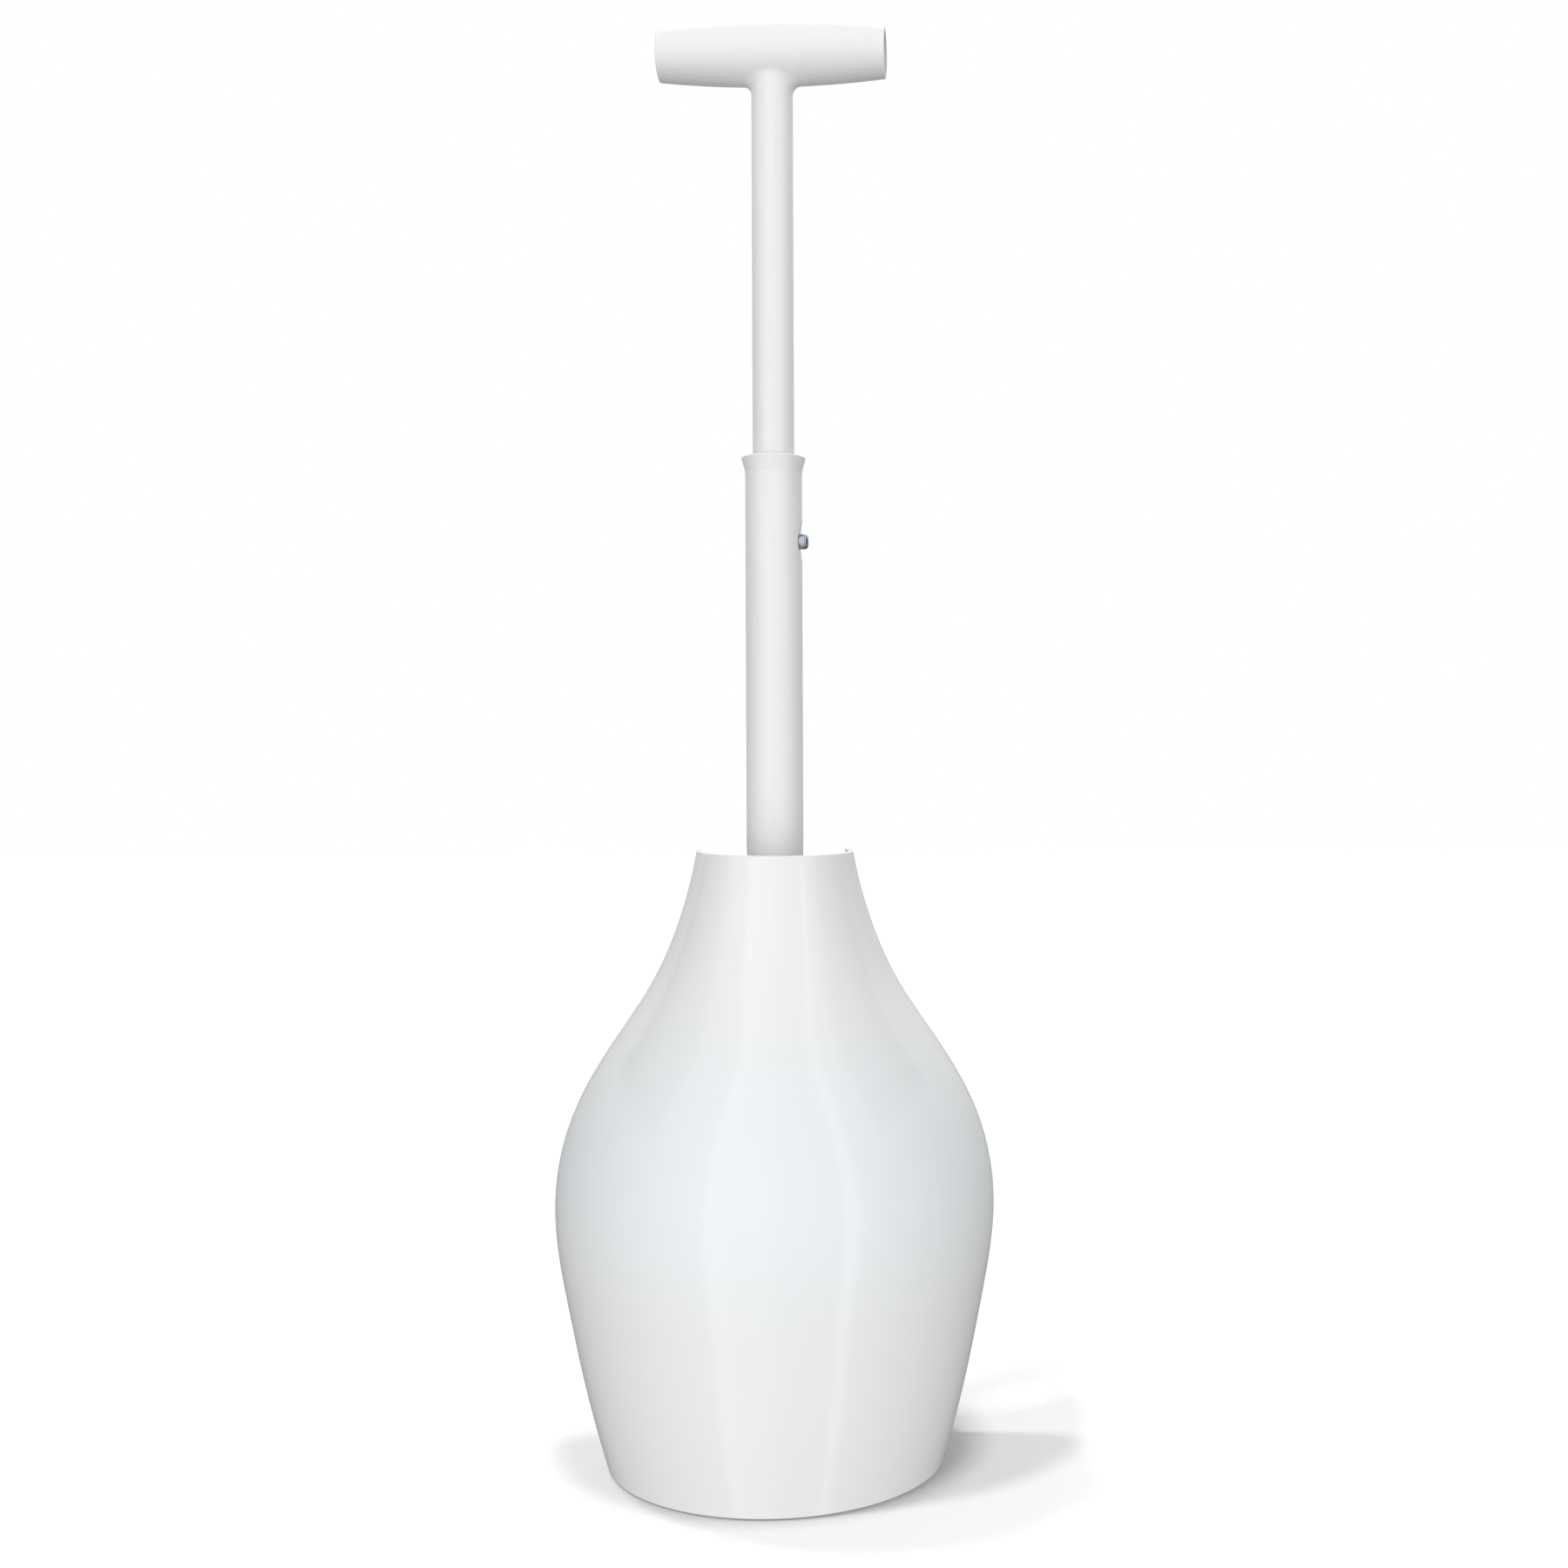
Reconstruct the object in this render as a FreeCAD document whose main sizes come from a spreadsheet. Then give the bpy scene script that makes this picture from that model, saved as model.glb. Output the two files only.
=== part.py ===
import FreeCAD, Part
import math
import os

import Sketcher
from FreeCAD import Placement, Rotation, Vector

# A telescoping T-handle toilet plunger standing in an open-backed holder.
# Model frame: +Z up, origin on the floor under the plunger's axis, the grip and the
# snap button along X, the holder's closed front towards -Y.  All lengths are millimetres.

DIMENSIONS = {
    # holder
    "pad_thickness": 1.2,
    "foot_gap": 0.8,
    "base_top": 7.0,
    "base_clearance": 0.25,
    "foot_radius": 69.3,
    "side_height": 31.0,
    "side_radius": 77.4,
    "waist_height": 67.0,
    "waist_radius": 84.9,
    "belly_height": 107.0,
    "belly_radius": 89.9,
    "shoulder_height": 139.0,
    "shoulder_radius": 84.2,
    "slope_height": 168.0,
    "slope_radius": 69.2,
    "throat_height": 197.0,
    "throat_radius": 50.2,
    "neck_height": 226.0,
    "neck_radius": 38.1,
    "rim_height": 253.0,
    "rim_radius": 31.8,
    "rim_cut": 250.3,
    "rim_tilt": 2.2,
    "shell_wall": 2.2,
    "edge_round": 0.9,
    "wrap_behind": 9.6,
    "holder_turn": 14.0,
    "boss_radius": 4.5,
    "boss_reach": 60.0,
    "boss_top": 19.0,
    "boss_hole": 1.4,
    "boss_roof": 2.0,
    "screw_head": 3.2,
    "screw_head_height": 1.9,
    "screw_head_chamfer": 0.5,
    "screw_length": 13.0,
    "screw_point": 2.0,
    "screw_tip": 0.4,
    "screw_play": 0.2,
    "screw_recess": 2.2,
    "slot_width": 0.8,
    "slot_length": 4.0,
    "slot_depth": 1.0,
    "pad_margin": 1.0,
    "pad_play": 0.1,
    "pad_round": 0.3,
    "inner_groove_start": 12.0,
    "inner_groove_end": 30.0,
    "outer_groove_start": 43.0,
    "outer_groove_end": 55.0,
    "drip_depth": 2.4,
    # plunger tube
    "tube_radius": 11.7,
    "tube_bore": 9.5,
    "tube_bottom": 120.0,
    "collar_top": 412.0,
    "collar_radius": 13.4,
    "collar_length": 6.6,
    "collar_flare": 30.0,
    "collar_round": 0.5,
    "bush_bore": 8.6,
    "bush_length": 18.0,
    "bush_recess": 0.8,
    "bush_chamfer": 0.5,
    "button_height": 377.4,
    "telescope_travel": 142.0,
    "scallop_radius": 30.0,
    "scallop_depth": 1.25,
    "button_hole": 3.3,
    # cup and its fixing
    "plug_top": 142.0,
    "stud_radius": 8.5,
    "stud_core": 7.3,
    "stud_bottom": 91.0,
    "stud_lead": 1.0,
    "stud_pitch": 5.0,
    "stud_flank": 1.6,
    "stud_crest": 0.8,
    "stud_play": 0.05,
    "plug_shoulder": 10.0,
    "plug_shoulder_height": 2.0,
    "plug_lead": 1.0,
    "pin_radius": 1.5,
    "pin_height": 131.0,
    "pin_short_of_tube": 0.4,
    "cup_crown": 88.0,
    "cup_wall": 3.6,
    "cup_floor": 7.05,
    "lip_radius": 68.0,
    "lip_height": 36.0,
    "lip_roll": 6.6,
    "dome_centre": 12.0,
    "neck_outer": 16.0,
    "neck_top": 119.8,
    "neck_foot": 7.0,
    "neck_round": 2.0,
    "crown_play": 0.4,
    "washer_radius": 15.0,
    "washer_thickness": 2.0,
    "washer_round": 0.4,
    "cup_screw_head": 6.5,
    "cup_screw_head_height": 3.6,
    "cup_screw_head_round": 1.6,
    "cup_screw_shank": 3.0,
    "cup_screw_length": 24.0,
    "cup_screw_point": 1.5,
    "cup_screw_taper": 1.0,
    "insert_radius": 4.6,
    "insert_length": 14.0,
    # handle
    "shaft_radius": 8.55,
    "shaft_bore": 6.35,
    "shaft_bottom": 346.0,
    "grip_height": 578.1,
    "grip_radius": 12.7,
    "grip_end_radius": 10.2,
    "grip_length": 93.8,
    "grip_wall": 1.7,
    "saddle_fillet": 4.4,
    "grip_end_round": 0.5,
    "shaft_bore_roof": 6.0,
    "shaft_bore_cone": 3.5,
    "stop_height": 390.4,
    "stop_width": 2.4,
    "stop_groove": 7.9,
    "end_plug_flange": 5.0,
    "end_plug_spigot": 14.0,
    "end_plug_chamfer": 0.8,
    "slider_radius": 9.44,
    # snap button
    "button_radius": 3.175,
    "button_tip": 14.4,
    "button_dome": 1.6,
    "button_play": 0.05,
    "spring_strip": 0.8,
    "spring_width": 6.0,
    "spring_leg": 4.8,
    "spring_bottom": 362.0,
    "spring_top": 384.0,
    "rivet_radius": 1.5,
    "rivet_head": 2.4,
    "rivet_head_height": 0.8,
}

SHELL_OUTLINE = ("foot", "side", "waist", "belly", "shoulder", "slope", "throat", "neck", "rim")
BOSS_ANGLES = (-155.0, -90.0, -25.0)
STUD_TURNS = 5
PAST = 20.0  # how far a cutting tool runs past the piece it cuts


class Size:
    """A length that knows its number and the sheet expression that drives it."""

    def __init__(self, value, text):
        self.value = float(value)
        self.text = text

    def joined(self, other, sign, result):
        other = as_size(other)
        return Size(result(self.value, other.value), f"({self.text} {sign} {other.text})")

    def __add__(self, other):
        return self.joined(other, "+", lambda a, b: a + b)

    def __sub__(self, other):
        return self.joined(other, "-", lambda a, b: a - b)

    def __mul__(self, other):
        return self.joined(other, "*", lambda a, b: a * b)

    def __truediv__(self, other):
        return self.joined(other, "/", lambda a, b: a / b)

    def __neg__(self):
        return Size(-self.value, f"(0 - {self.text})")


def as_size(number):
    """Let plain numbers stand beside sheet sizes in an outline."""
    return number if isinstance(number, Size) else Size(number, repr(float(number)))


def third_side(longest, other):
    """The third side of a right-angled triangle."""
    squares = longest * longest - other * other
    return Size(math.sqrt(squares.value), f"sqrt{squares.text}")


doc = FreeCAD.newDocument("ToiletPlunger")
sheet = doc.addObject("Spreadsheet::Sheet", "Sizes")
S = {}
for row, (alias, number) in enumerate(DIMENSIONS.items(), start=1):
    sheet.set(f"A{row}", alias)
    sheet.set(f"B{row}", str(number))
    sheet.setAlias(f"B{row}", alias)
    S[alias] = Size(number, f"Sizes.{alias}")
doc.recompute()

NODES = []


# ---------------------------------------------------------------- sketch helpers

def new_body(label):
    """Start a sub-part; its label names its file."""
    body = doc.addObject("PartDesign::Body", f"Body_{label}")
    body.Label = label
    NODES.append(body)
    return body


def sketch_on(body, plane, name):
    """A sketch on one of the body's own origin planes, such as XZ_Plane."""
    sketch = body.newObject("Sketcher::SketchObject", name)
    face = next(f for f in body.Origin.OriginFeatures if f.Role == plane)
    sketch.AttachmentSupport = [(face, "")]
    sketch.MapMode = "FlatFace"
    return sketch


def pin_vertex(sketch, edge, end, x, y):
    """Hold one end of an edge at (x, y), both of them driven by the sheet."""
    for kind, size, axis in (("DistanceX", x, -2), ("DistanceY", y, -1)):
        if abs(size.value) < 1e-9:
            sketch.addConstraint(Sketcher.Constraint("PointOnObject", edge, end, axis))
            continue
        number = sketch.addConstraint(
            Sketcher.Constraint(kind, -1, 1, edge, end, size.value))
        sketch.setExpression(f"Constraints[{number}]", size.text)


def draw_outline(sketch, points, arcs=()):
    """A closed outline through the points.

    arcs maps the index of an outline's edge to (radius, side): side +1 puts the arc's
    centre to the left of the edge's direction, -1 to its right.  A half circle gives the
    height of its centre as a third item, because a radius alone can't hold it.
    """
    arcs = dict(arcs)
    points = [(as_size(x), as_size(y)) for x, y in points]
    count = len(points)
    ends = []
    for index in range(count):
        start = Vector(points[index][0].value, points[index][1].value, 0)
        stop = Vector(points[(index + 1) % count][0].value,
                      points[(index + 1) % count][1].value, 0)
        if index not in arcs:
            sketch.addGeometry(Part.LineSegment(start, stop), False)
            ends.append((1, 2))
            continue
        radius, side = as_size(arcs[index][0]), arcs[index][1]
        chord = stop - start
        left = Vector(-chord.y, chord.x, 0).normalize()
        rise = math.sqrt(max(0.0, radius.value ** 2 - (chord.Length / 2) ** 2))
        centre = start + chord * 0.5 + left * (rise * side)
        circle = Part.Circle(centre, Vector(0, 0, 1), radius.value)
        angles = [math.atan2(p.y - centre.y, p.x - centre.x) for p in (start, stop)]
        # an arc always runs counter-clockwise, so a right-hand one is drawn backwards
        if side > 0:
            sketch.addGeometry(Part.ArcOfCircle(circle, angles[0], angles[1]), False)
            ends.append((1, 2))
        else:
            sketch.addGeometry(Part.ArcOfCircle(circle, angles[1], angles[0]), False)
            ends.append((2, 1))
        kind, size = "Radius", radius
        places = (index,)
        if len(arcs[index]) == 3:
            kind, size = "DistanceY", arcs[index][2]
            places = (-1, 1, index, 3)
        number = sketch.addConstraint(Sketcher.Constraint(kind, *places, size.value))
        sketch.setExpression(f"Constraints[{number}]", size.text)
    for index in range(count):
        following = (index + 1) % count
        sketch.addConstraint(Sketcher.Constraint(
            "Coincident", index, ends[index][1], following, ends[following][0]))
        pin_vertex(sketch, index, ends[index][0], *points[index])
    return sketch


def draw_circle(sketch, x, y, radius):
    x, y, radius = as_size(x), as_size(y), as_size(radius)
    edge = sketch.addGeometry(
        Part.Circle(Vector(x.value, y.value, 0), Vector(0, 0, 1), radius.value), False)
    pin_vertex(sketch, edge, 3, x, y)
    number = sketch.addConstraint(Sketcher.Constraint("Radius", edge, radius.value))
    sketch.setExpression(f"Constraints[{number}]", radius.text)
    return sketch


def turned(body, name, points, arcs=(), axis="V_Axis", cut=False):
    """Turn an XZ outline about the vertical (V_Axis) or horizontal (H_Axis) axis."""
    sketch = draw_outline(sketch_on(body, "XZ_Plane", f"{name}_outline"), points, arcs)
    kind = "PartDesign::Groove" if cut else "PartDesign::Revolution"
    feature = body.newObject(kind, name)
    feature.Profile = sketch
    feature.ReferenceAxis = (sketch, [axis])
    feature.Angle = 360
    sketch.Visibility = False
    return feature


def bored(body, name, plane, x, y, radius, length, both_ways=True, backwards=False):
    """Cut a round hole square to one of the origin planes, and prove that it cut."""
    doc.recompute()
    before = body.Shape.Volume
    sketch = draw_circle(sketch_on(body, plane, f"{name}_circle"), x, y, radius)
    pocket = body.newObject("PartDesign::Pocket", name)
    pocket.Profile = sketch
    pocket.Type = "Length"
    pocket.Midplane = both_ways
    pocket.Reversed = backwards
    pocket.Length = as_size(length).value
    pocket.setExpression("Length", as_size(length).text)
    doc.recompute()
    if body.Shape.Volume > before - 0.01:
        raise RuntimeError(f"{name} cut nothing")
    return pocket


def round_edges(body, name, base, radius, wanted):
    """Fillet those edges of the base feature that the test picks out."""
    doc.recompute()
    names = [f"Edge{i + 1}" for i, edge in enumerate(base.Shape.Edges) if wanted(edge)]
    if not names:
        raise RuntimeError(f"{name}: no edge to round")
    fillet = body.newObject("PartDesign::Fillet", name)
    fillet.Base = (base, names)
    fillet.Radius = as_size(radius).value
    fillet.setExpression("Radius", as_size(radius).text)
    return fillet


def ring_at(radius, height, slack=0.05):
    """Test for a horizontal circular edge about the vertical axis."""
    def wanted(edge):
        curve = edge.Curve
        return (isinstance(curve, Part.Circle) and abs(curve.Radius - radius) < slack
                and abs(curve.Center.z - height) < slack)
    return wanted


def feature_node(label, shape):
    """A sub-part whose free-form or grouped shape is made from Part's own functions."""
    node = doc.addObject("Part::Feature", f"Solid_{label}")
    node.Label = label
    node.Shape = shape
    node.Placement = Placement()
    NODES.append(node)
    return node


# ---------------------------------------------------------------- holder

def holder_node(label, shape):
    """A piece of the holder, whose opening faces +Y but is turned a little about +Z."""
    node = feature_node(label, shape)
    node.Placement = Placement(Vector(), Rotation(Vector(0, 0, 1), S["holder_turn"].value))
    return node


def shell_points(inward):
    """The shell's outline from foot to rim, moved inward square to the wall."""
    foot_gap = S["foot_gap"].value
    places = []
    for name in SHELL_OUTLINE:
        height = foot_gap if name == "foot" else S[f"{name}_height"].value
        places.append(Vector(S[f"{name}_radius"].value, 0, height))
    outline = Part.BSplineCurve()
    outline.interpolate(places)
    moved = []
    for place in places:
        tangent = Vector(*outline.tangent(outline.parameter(place))[0])
        normal = Vector(tangent.z, 0, -tangent.x)
        moved.append(place - normal * inward)
    moved[0].z = places[0].z
    moved[-1].z = places[-1].z
    return moved


def smooth_edge(places):
    curve = Part.BSplineCurve()
    curve.interpolate(places)
    return curve.toShape()


def revolved_wall(outer, inner, start, sweep):
    """Turn the wall between two outlines about the vertical axis."""
    edges = [
        smooth_edge(outer),
        Part.LineSegment(outer[-1], inner[-1]).toShape(),
        smooth_edge(inner),
        Part.LineSegment(inner[0], outer[0]).toShape(),
    ]
    face = Part.Face(Part.Wire(Part.__sortEdges__(edges)))
    face.rotate(Vector(0, 0, 0), Vector(0, 0, 1), start)
    return face.revolve(Vector(0, 0, 0), Vector(0, 0, 1), sweep)


def polar(radius, angle, height):
    return Vector(radius * math.cos(math.radians(angle)),
                  radius * math.sin(math.radians(angle)), height)


def rim_plane():
    """The plane that trims the rim: a little lower in front than at the opening."""
    return Placement(Vector(0, 0, S["rim_cut"].value),
                     Rotation(Vector(1, 0, 0), S["rim_tilt"].value))


def holder_shell():
    """The C-shaped bulb: one wall round the front, open at the back, with screw bosses."""
    behind = S["wrap_behind"].value
    sweep = 180 + 2 * behind
    outer = shell_points(0.0)
    inner = shell_points(S["shell_wall"].value)
    wall = revolved_wall(outer, inner, 180 - behind, sweep)
    side = 2 * S["neck_radius"].value + PAST
    above = Part.makeBox(side, side, side)
    above.Placement = rim_plane() * Placement(Vector(-side / 2, -side / 2, 0), Rotation())
    wall = wall.cut(above)
    # solid filling inside the wall, which trims the bosses to its inner face
    axis_points = [Vector(0, 0, inner[-1].z), Vector(0, 0, inner[0].z)]
    fill_edges = [smooth_edge(inner)]
    corners = [inner[-1]] + axis_points + [inner[0]]
    for start, stop in zip(corners, corners[1:]):
        fill_edges.append(Part.LineSegment(start, stop).toShape())
    filling = Part.Face(Part.Wire(Part.__sortEdges__(fill_edges)))
    filling = filling.revolve(Vector(0, 0, 0), Vector(0, 0, 1), 360)
    bottom = S["base_top"].value
    height = S["boss_top"].value - bottom
    radius = S["boss_radius"].value
    reach = S["boss_reach"].value
    bosses = []
    for angle in BOSS_ANGLES:
        post = Part.makeCylinder(radius, height, polar(reach, angle, bottom))
        web = Part.makeBox(2 * radius + PAST, 2 * radius, height, Vector(0, -radius, 0))
        web.rotate(Vector(0, 0, 0), Vector(0, 0, 1), angle)
        web.translate(polar(reach, angle, bottom))
        bosses.append(post.fuse(web).common(filling))
    shell = wall.multiFuse(bosses).removeSplitter()
    for angle in BOSS_ANGLES:
        pilot = Part.makeCylinder(S["boss_hole"].value, height + PAST - S["boss_roof"].value,
                                  polar(reach, angle, bottom - PAST))
        shell = shell.cut(pilot)
    return holder_node("holder_shell", rounded_shell(shell))


def rounded_shell(shell):
    """Round the rim and the two upright edges beside the opening."""
    rim = rim_plane()
    square_to_rim = rim.Rotation.multVec(Vector(0, 0, 1))
    behind = S["wrap_behind"].value
    picked = []
    for edge in shell.Edges:
        middle = edge.valueAt((edge.FirstParameter + edge.LastParameter) / 2)
        angle = math.degrees(math.atan2(middle.y, middle.x))
        at_rim = abs((middle - rim.Base).dot(square_to_rim)) < 0.01 and edge.Length > 20
        upright = (abs(angle - behind) < 0.2 or abs(angle - 180 + behind) < 0.2)
        if at_rim or (upright and edge.Length > 100):
            picked.append(edge)
    return shell.makeFillet(S["edge_round"].value, picked)


def holder_base():
    """The moulded foot: a round plate with drip grooves, and the shell's missing back edge."""
    gap = S["foot_gap"].value
    top = S["base_top"].value
    depth = S["drip_depth"].value
    outer = shell_points(0.0)
    inside = outer[0].x - S["shell_wall"].value - S["base_clearance"].value
    plate = Part.makeCylinder(inside, top - gap, Vector(0, 0, gap))
    # the back rim follows the shell's outline where the shell is open
    slope = (outer[1].x - outer[0].x) / (outer[1].z - outer[0].z)
    full = Part.makeCone(outer[0].x, outer[0].x + slope * (top - gap), top - gap,
                         Vector(0, 0, gap))
    behind = S["wrap_behind"].value
    slack = math.degrees(S["base_clearance"].value / outer[0].x)
    wedge_start = behind + slack
    wedge_sweep = 180 - 2 * wedge_start
    wedge = Part.makeCylinder(outer[0].x + PAST, top, Vector(0, 0, 0), Vector(0, 0, 1),
                              wedge_sweep)
    wedge.rotate(Vector(0, 0, 0), Vector(0, 0, 1), wedge_start)
    base = plate.fuse(full.common(wedge)).removeSplitter()
    for name in ("inner_groove", "outer_groove"):
        bottom = Vector(0, 0, top - depth)
        groove = Part.makeCylinder(S[f"{name}_end"].value, depth, bottom)
        island = Part.makeCylinder(S[f"{name}_start"].value, depth, bottom)
        base = base.cut(groove.cut(island))
    # recess for the pad under the plate
    recess_radius = pad_radius().value + S["pad_play"].value
    recess_depth = S["pad_thickness"].value - gap
    base = base.cut(Part.makeCylinder(recess_radius, recess_depth, Vector(0, 0, gap)))
    play = S["screw_play"].value
    for angle in BOSS_ANGLES:
        place = polar(S["boss_reach"].value, angle, 0)
        base = base.cut(Part.makeCylinder(S["boss_hole"].value + play, top, place))
        base = base.cut(Part.makeCylinder(S["screw_head"].value + play, screw_seat(), place))
    return holder_node("holder_base", base)


def pad_radius():
    """The rubber pad covers the screw heads."""
    return S["boss_reach"] + S["screw_head"] + S["pad_margin"]


def screw_seat():
    """Height of the face that a base screw's head bears on."""
    return S["pad_thickness"].value + S["screw_recess"].value


def base_screws():
    """Three self-tapping screws, up through the base into the shell's bosses."""
    head_height = S["screw_head_height"].value
    radius = S["boss_hole"].value
    point = S["screw_point"].value
    shank_length = S["screw_length"].value - point
    width = S["slot_width"].value
    long = S["slot_length"].value
    deep = S["slot_depth"].value
    screws = []
    for angle in BOSS_ANGLES:
        seat = polar(S["boss_reach"].value, angle, screw_seat())
        underside = seat - Vector(0, 0, head_height)
        head = Part.makeCylinder(S["screw_head"].value, head_height, underside)
        rims = [e for e in head.Edges
                if isinstance(e.Curve, Part.Circle) and e.Curve.Center.z < seat.z - deep]
        head = head.makeChamfer(S["screw_head_chamfer"].value, rims)
        cross = Part.makeBox(width, long, deep, Vector(-width / 2, -long / 2, 0))
        cross = cross.fuse(Part.makeBox(long, width, deep, Vector(-long / 2, -width / 2, 0)))
        cross.translate(underside)
        shank = Part.makeCylinder(radius, shank_length, seat)
        tip = Part.makeCone(radius, S["screw_tip"].value, point,
                            seat + Vector(0, 0, shank_length))
        screws.append(head.cut(cross).fuse([shank, tip]).removeSplitter())
    return holder_node("base_screws", Part.makeCompound(screws))


def nonslip_pad():
    """A rubber disc stuck under the base; it covers the screws and touches the floor."""
    body = new_body("nonslip_pad")
    radius = pad_radius()
    pad = turned(body, "pad", [(0, 0), (radius, 0), (radius, S["pad_thickness"]),
                               (0, S["pad_thickness"])])
    round_edges(body, "pad_round", pad, S["pad_round"], ring_at(radius.value, 0))


# ---------------------------------------------------------------- plunger tube and cup

def outer_tube():
    """The lower tube: flared collar on top, a thumb scallop round each button hole."""
    body = new_body("outer_tube")
    flare = S["collar_top"] - S["collar_length"]
    tube = turned(body, "tube", [
        (S["tube_bore"], S["tube_bottom"]),
        (S["tube_radius"], S["tube_bottom"]),
        (S["tube_radius"], flare),
        (S["collar_radius"], S["collar_top"]),
        (S["tube_bore"], S["collar_top"]),
    ], arcs={2: (S["collar_flare"], -1)})
    round_edges(body, "collar_round", tube, S["collar_round"],
                ring_at(S["collar_radius"].value, S["collar_top"].value))
    lower = S["button_height"] - S["telescope_travel"]
    scallop_x = S["tube_radius"] - S["scallop_depth"] + S["scallop_radius"]
    for name, height in (("upper", S["button_height"]), ("lower", lower)):
        bored(body, f"{name}_scallop", "XZ_Plane", scallop_x, height, S["scallop_radius"],
              2 * PAST)
        bored(body, f"{name}_button_hole", "YZ_Plane", 0, height, S["button_hole"],
              S["tube_radius"] + PAST, both_ways=False, backwards=True)
    bored(body, "pin_hole", "XZ_Plane", 0, S["pin_height"], S["pin_radius"], 2 * PAST)


def guide_bush():
    """A bearing sleeve pressed into the collar; the inner shaft runs in it."""
    body = new_body("guide_bush")
    top = S["collar_top"] - S["bush_recess"]
    bottom = top - S["bush_length"]
    lead = S["bush_chamfer"]
    turned(body, "sleeve", [
        (S["bush_bore"], bottom),
        (S["tube_bore"], bottom),
        (S["tube_bore"], top),
        (S["bush_bore"] + lead, top),
        (S["bush_bore"], top - lead),
    ])


def tube_plug():
    """The plug in the tube's lower end, with the coarse-threaded stud for the cup."""
    body = new_body("tube_plug")
    end = S["tube_bottom"]
    shoulder = end - S["plug_shoulder_height"]
    core, crest = S["stud_core"], S["stud_radius"]
    points = [(0, S["plug_top"]), (0, S["stud_bottom"]), (core, S["stud_bottom"])]
    for turn in range(STUD_TURNS):
        foot = S["stud_bottom"] + S["stud_lead"] + S["stud_pitch"] * turn
        rise = foot + S["stud_flank"]
        fall = rise + S["stud_crest"]
        points += [(core, foot), (crest, rise), (crest, fall), (core, fall + S["stud_flank"])]
    points += [
        (core, shoulder),
        (S["plug_shoulder"], shoulder),
        (S["plug_shoulder"], end),
        (S["tube_bore"], end),
        (S["tube_bore"], S["plug_top"] - S["plug_lead"]),
        (S["tube_bore"] - S["plug_lead"], S["plug_top"]),
    ]
    turned(body, "plug", points)
    bored(body, "pin_hole", "XZ_Plane", 0, S["pin_height"], S["pin_radius"], 2 * PAST)
    insert_top = S["stud_bottom"] + S["insert_length"]
    screw_room = screw_tip_height() + S["screw_play"]
    turned(body, "insert_pocket", [
        (0, S["stud_bottom"]),
        (S["insert_radius"], S["stud_bottom"]),
        (S["insert_radius"], insert_top),
        (S["cup_screw_shank"], insert_top),
        (S["cup_screw_shank"], screw_room),
        (0, screw_room),
    ], cut=True)


def plug_pin():
    """A steel roll pin across the tube and its plug."""
    body = new_body("plug_pin")
    sketch = draw_circle(sketch_on(body, "XZ_Plane", "pin_circle"), 0, S["pin_height"],
                         S["pin_radius"])
    half = S["tube_radius"] - S["pin_short_of_tube"]
    pad = body.newObject("PartDesign::Pad", "pin")
    pad.Profile = sketch
    pad.Midplane = True
    pad.setExpression("Length", f"2 * {half.text}")


def screw_insert():
    """A brass bush moulded into the stud, which takes the cup's screw."""
    body = new_body("screw_insert")
    bottom = S["stud_bottom"]
    turned(body, "insert", [
        (S["cup_screw_shank"], bottom),
        (S["insert_radius"], bottom),
        (S["insert_radius"], bottom + S["insert_length"]),
        (S["cup_screw_shank"], bottom + S["insert_length"]),
    ])


def cup_washer():
    """The steel washer that clamps the cup's crown against the stud."""
    body = new_body("cup_washer")
    top = S["cup_crown"]
    washer = turned(body, "washer", [
        (S["cup_screw_shank"], top - S["washer_thickness"]),
        (S["washer_radius"], top - S["washer_thickness"]),
        (S["washer_radius"], top),
        (S["cup_screw_shank"], top),
    ])
    round_edges(body, "washer_round", washer, S["washer_round"],
                ring_at(S["washer_radius"].value, top.value - S["washer_thickness"].value))


def cup_screw():
    """The pan-head screw up through the washer into the stud's brass bush."""
    body = new_body("cup_screw")
    seat = S["cup_crown"] - S["washer_thickness"]
    head = seat - S["cup_screw_head_height"]
    tip = screw_tip_height()
    screw = turned(body, "screw", [
        (0, head),
        (S["cup_screw_head"], head),
        (S["cup_screw_head"], seat),
        (S["cup_screw_shank"], seat),
        (S["cup_screw_shank"], tip - S["cup_screw_point"]),
        (S["cup_screw_shank"] - S["cup_screw_taper"], tip),
        (0, tip),
    ])
    round_edges(body, "head_round", screw, S["cup_screw_head_round"],
                ring_at(S["cup_screw_head"].value, head.value))


def screw_tip_height():
    return S["cup_crown"] - S["washer_thickness"] + S["cup_screw_length"]


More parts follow.
